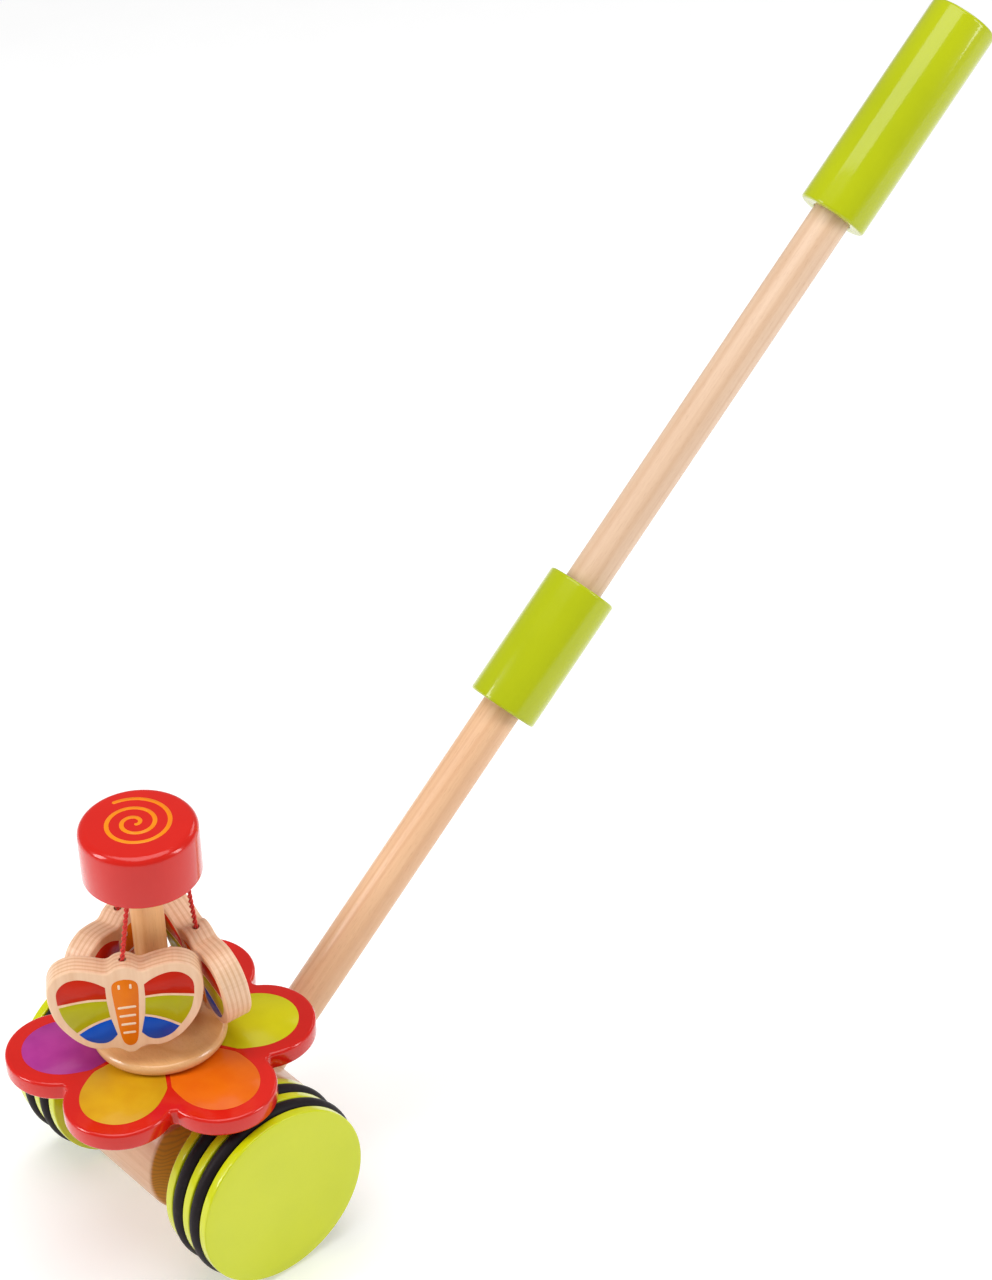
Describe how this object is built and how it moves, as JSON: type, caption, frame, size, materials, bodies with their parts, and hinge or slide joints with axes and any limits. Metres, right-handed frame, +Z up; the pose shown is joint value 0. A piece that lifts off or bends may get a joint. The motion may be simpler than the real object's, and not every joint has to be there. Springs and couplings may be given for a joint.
{
  "type": "push along toy",
  "caption": "Wooden toddler push-along toy: a flower disc on rubber-ringed wheels turns as it rolls, with butterflies hanging on cords from its post, and a long round handle.",
  "frame": {"origin": "middle of the toy's box, on the floor that the wheels' rubber rings stand on", "axes": "+X to the toy's right as it stands, along the axle; -Y is the way it travels, and the handle rises towards +Y; +Z up"},
  "size_m": [0.1376, 0.5388, 0.4175],
  "materials": {
    "natural_wood": "clear satin lacquer on pale close-grained wood",
    "plywood": "pale plywood, satin, with layered edges and printed faces",
    "lime_paint": "glossy lime green lacquer on turned wood",
    "red_paint": "glossy red lacquer on wood, with printed petals and a printed spiral",
    "black_rubber": "matte black rubber",
    "red_cord": "twisted red cord",
    "steel": "plain steel",
    "grey_plastic": "plain plastic"
  },
  "bodies": {
    "frame": {"body_block": "natural_wood", "handle_rod_lower": "natural_wood", "handle_collar": "lime_paint", "handle_rod_upper": "natural_wood", "handle_grip": "lime_paint", "pivot_pin": "steel", "pivot_boss": "natural_wood", "pivot_washer": "grey_plastic"},
    "wheel_set": {"axle": "steel", "axle_spacer_right": "natural_wood", "axle_spacer_left": "natural_wood", "wheel_right": "lime_paint", "wheel_left": "lime_paint", "rubber_ring_right_inner": "black_rubber", "rubber_ring_right_outer": "black_rubber", "rubber_ring_left_inner": "black_rubber", "rubber_ring_left_outer": "black_rubber"},
    "flower": {"flower_disc": "red_paint", "hub": "natural_wood", "post": "natural_wood", "cap": "red_paint"},
    "butterfly_front": {"butterfly_front": "plywood", "cord_front": "red_cord"},
    "butterfly_right": {"butterfly_right": "plywood", "cord_right": "red_cord"},
    "butterfly_left": {"butterfly_left": "plywood", "cord_left": "red_cord"}
  },
  "joints": [
    {"name": "wheel_spin", "type": "hinge", "parent": "frame", "child": "wheel_set", "pos_m": [0, -0.20014, 0.0428], "axis": [1, 0, 0], "continuous": true},
    {"name": "flower_spin", "type": "hinge", "parent": "frame", "child": "flower", "pos_m": [0, -0.20904, 0.0859], "axis": [0, 0, 1], "continuous": true},
    {"name": "butterfly_front_swing", "type": "hinge", "parent": "flower", "child": "butterfly_front", "pos_m": [0.00926, -0.2233, 0.1824], "axis": [-0.8387, -0.5446, 0], "range_deg": [0, 40]},
    {"name": "butterfly_right_swing", "type": "hinge", "parent": "flower", "child": "butterfly_right", "pos_m": [0.00772, -0.19389, 0.1824], "axis": [0.891, -0.454, 0], "range_deg": [0, 40]},
    {"name": "butterfly_left_swing", "type": "hinge", "parent": "flower", "child": "butterfly_left", "pos_m": [-0.01698, -0.20993, 0.1824], "axis": [-0.0523, 0.9986, 0], "range_deg": [0, 40]}
  ],
  "couplings": [
    {"joint": "flower_spin", "follows": "wheel_spin", "ratio": -0.8735}
  ]
}
